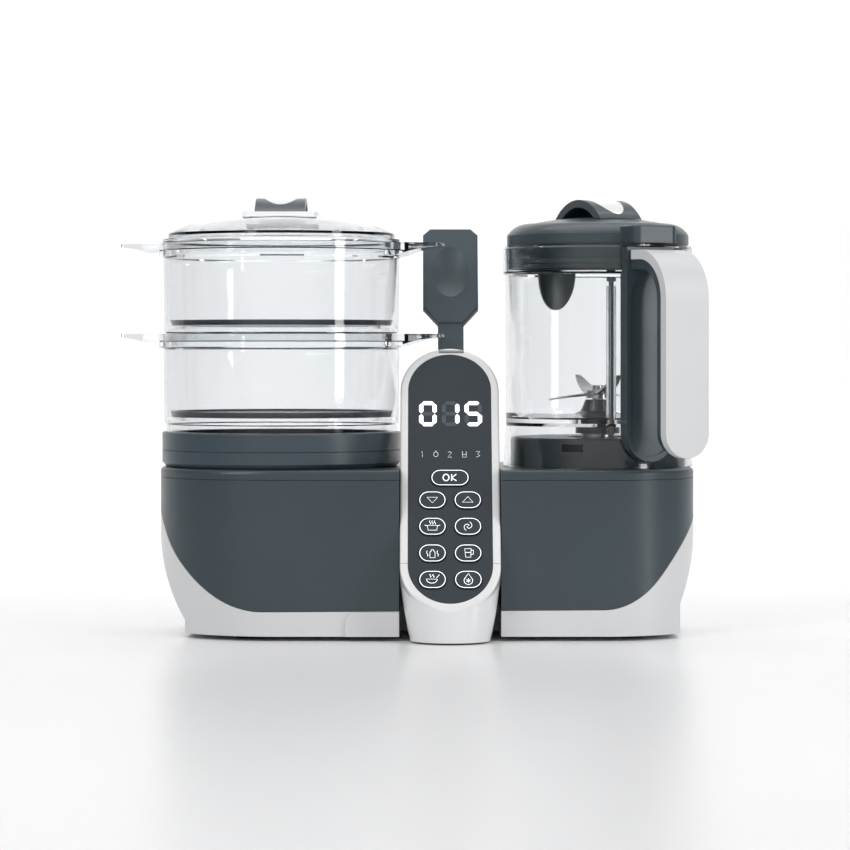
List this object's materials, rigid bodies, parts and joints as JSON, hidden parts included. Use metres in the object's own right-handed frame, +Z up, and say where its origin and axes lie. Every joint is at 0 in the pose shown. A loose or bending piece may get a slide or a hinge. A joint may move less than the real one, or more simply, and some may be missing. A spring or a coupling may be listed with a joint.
{
  "type": "baby food maker",
  "caption": "Countertop baby food maker: a stacked clear steamer and a blender jug on one base, with a leaning key pod between them that holds a spatula.",
  "frame": {"origin": "on the worktop, under the middle of the whole footprint", "axes": "+Z up, -Y the front with the key pod, +X from the steamer to the blender"},
  "size_m": [0.4052, 0.2036, 0.3029],
  "materials": {
    "slate_shell": "satin",
    "slate_rim": "satin",
    "slate_lid": "satin",
    "light_shell": "satin",
    "white_gloss": "glossy",
    "pale_grip": "satin",
    "clear_plastic": "glossy",
    "pod_glass": "glossy",
    "key_film": "glossy",
    "display": "glossy",
    "inner_plastic": "satin",
    "circuit_board": "satin",
    "soft_silicone": "matte",
    "spatula_silicone": "matte",
    "feet_rubber": "matte",
    "steel": "brushed",
    "motor_steel": "rough",
    "heater_alloy": "cast"
  },
  "bodies": {
    "base": {"lower_shell": "light_shell", "main_housing": "slate_shell", "top_deck": "slate_shell", "rubber_feet": "feet_rubber", "case_screws": "steel", "cord_gland": "feet_rubber", "panel_frame": "white_gloss", "panel_foot": "white_gloss", "panel_lens": "pod_glass", "panel_back_cover": "white_gloss", "pod_neck": "inner_plastic", "display_module": "display", "control_board": "circuit_board", "keypad_mat": "soft_silicone", "boiler_rim": "slate_rim", "boiler_tank": "steel", "heater_plate": "heater_alloy", "motor_stator": "motor_steel", "motor_mount": "inner_plastic", "jug_seat": "slate_shell", "seat_seal": "soft_silicone", "power_board": "circuit_board", "interlock_switch": "inner_plastic"},
    "switch_button": {"switch_plunger": "inner_plastic"},
    "lock_rod": {"interlock_rod": "inner_plastic"},
    "rotor": {"motor_rotor": "motor_steel", "cooling_fan": "inner_plastic", "drive_coupling": "inner_plastic"},
    "blade_rotor": {"blade_shaft": "steel", "blades": "steel"},
    "blade_unit": {"blade_carrier": "slate_lid", "blade_nut": "slate_lid"},
    "jug_body": {"jug": "clear_plastic", "handle_spine": "slate_lid", "handle_liner": "slate_lid", "grip_shell": "pale_grip"},
    "lid_gasket": {"lid_seal": "soft_silicone"},
    "jug_cover": {"jug_lid": "slate_lid", "jug_knob": "slate_lid", "jug_knob_insert": "white_gloss"},
    "steam_tray": {"juice_tray": "slate_rim"},
    "basket_one": {"lower_basket": "clear_plastic"},
    "basket_two": {"upper_basket": "clear_plastic"},
    "floor_one": {"lower_tray": "slate_lid"},
    "floor_two": {"upper_tray": "slate_lid"},
    "steam_cover": {"steamer_lid": "clear_plastic", "steamer_knob": "slate_lid", "steamer_knob_insert": "white_gloss"},
    "stirrer": {"spatula": "spatula_silicone"},
    "key_ok_body": {"key_ok": "key_film"},
    "key_down_body": {"key_down": "key_film"},
    "key_up_body": {"key_up": "key_film"},
    "key_steam_body": {"key_steam": "key_film"},
    "key_blend_body": {"key_blend": "key_film"},
    "key_sterilise_body": {"key_sterilise": "key_film"},
    "key_jug_body": {"key_jug": "key_film"},
    "key_warm_body": {"key_warm": "key_film"},
    "key_defrost_body": {"key_defrost": "key_film"}
  },
  "joints": [
    {"name": "key_ok_press", "type": "slide", "parent": "base", "child": "key_ok_body", "axis": [0, 0.866, -0.5], "range_m": [0, 0.001], "stiffness_N_per_m": 500},
    {"name": "key_down_press", "type": "slide", "parent": "base", "child": "key_down_body", "axis": [0, 0.866, -0.5], "range_m": [0, 0.001], "stiffness_N_per_m": 500},
    {"name": "key_up_press", "type": "slide", "parent": "base", "child": "key_up_body", "axis": [0, 0.866, -0.5], "range_m": [0, 0.001], "stiffness_N_per_m": 500},
    {"name": "key_steam_press", "type": "slide", "parent": "base", "child": "key_steam_body", "axis": [0, 0.866, -0.5], "range_m": [0, 0.001], "stiffness_N_per_m": 500},
    {"name": "key_blend_press", "type": "slide", "parent": "base", "child": "key_blend_body", "axis": [0, 0.866, -0.5], "range_m": [0, 0.001], "stiffness_N_per_m": 500},
    {"name": "key_sterilise_press", "type": "slide", "parent": "base", "child": "key_sterilise_body", "axis": [0, 0.866, -0.5], "range_m": [0, 0.001], "stiffness_N_per_m": 500},
    {"name": "key_jug_press", "type": "slide", "parent": "base", "child": "key_jug_body", "axis": [0, 0.866, -0.5], "range_m": [0, 0.001], "stiffness_N_per_m": 500},
    {"name": "key_warm_press", "type": "slide", "parent": "base", "child": "key_warm_body", "axis": [0, 0.866, -0.5], "range_m": [0, 0.001], "stiffness_N_per_m": 500},
    {"name": "key_defrost_press", "type": "slide", "parent": "base", "child": "key_defrost_body", "axis": [0, 0.866, -0.5], "range_m": [0, 0.001], "stiffness_N_per_m": 500},
    {"name": "switch_press", "type": "slide", "parent": "base", "child": "switch_button", "axis": [0, 0, 1], "range_m": [-0.0025, 0], "stiffness_N_per_m": 300},
    {"name": "rod_press", "type": "slide", "parent": "jug_body", "child": "lock_rod", "axis": [0, 0, 1], "range_m": [-0.0025, 0], "stiffness_N_per_m": 300},
    {"name": "motor_spin", "type": "hinge", "parent": "base", "child": "rotor", "pos_m": [0.13292, 0.01491, 0], "axis": [0, 0, 1], "continuous": true},
    {"name": "jug_lift", "type": "slide", "parent": "base", "child": "blade_unit", "axis": [0, 0, 1], "range_m": [0, 0.06]},
    {"name": "blade_spin", "type": "hinge", "parent": "blade_unit", "child": "blade_rotor", "pos_m": [0.13292, 0.01491, 0], "axis": [0, 0, 1], "continuous": true},
    {"name": "jug_turn", "type": "hinge", "parent": "blade_unit", "child": "jug_body", "pos_m": [0.13292, 0.01491, 0], "axis": [0, 0, 1], "range_deg": [0, 25]},
    {"name": "lid_lift", "type": "slide", "parent": "jug_body", "child": "lid_gasket", "axis": [0, 0, 1], "range_m": [0, 0.06]},
    {"name": "lid_turn", "type": "hinge", "parent": "lid_gasket", "child": "jug_cover", "pos_m": [0.13292, 0.01491, 0], "axis": [0, 0, 1], "range_deg": [-25, 0]},
    {"name": "tray_lift", "type": "slide", "parent": "base", "child": "steam_tray", "axis": [0, 0, 1], "range_m": [0, 0.05]},
    {"name": "lower_basket_lift", "type": "slide", "parent": "steam_tray", "child": "basket_one", "axis": [0, 0, 1], "range_m": [0, 0.05]},
    {"name": "upper_basket_lift", "type": "slide", "parent": "basket_one", "child": "basket_two", "axis": [0, 0, 1], "range_m": [0, 0.05]},
    {"name": "steam_lid_lift", "type": "slide", "parent": "basket_two", "child": "steam_cover", "axis": [0, 0, 1], "range_m": [0, 0.05]},
    {"name": "lower_floor_lift", "type": "slide", "parent": "basket_one", "child": "floor_one", "axis": [0, 0, 1], "range_m": [0, 0.04]},
    {"name": "upper_floor_lift", "type": "slide", "parent": "basket_two", "child": "floor_two", "axis": [0, 0, 1], "range_m": [0, 0.04]},
    {"name": "spatula_draw", "type": "slide", "parent": "base", "child": "stirrer", "axis": [0, 0.5, 0.866], "range_m": [0, 0.06]}
  ],
  "couplings": [
    {"joint": "blade_spin", "follows": "motor_spin", "ratio": 1}
  ]
}
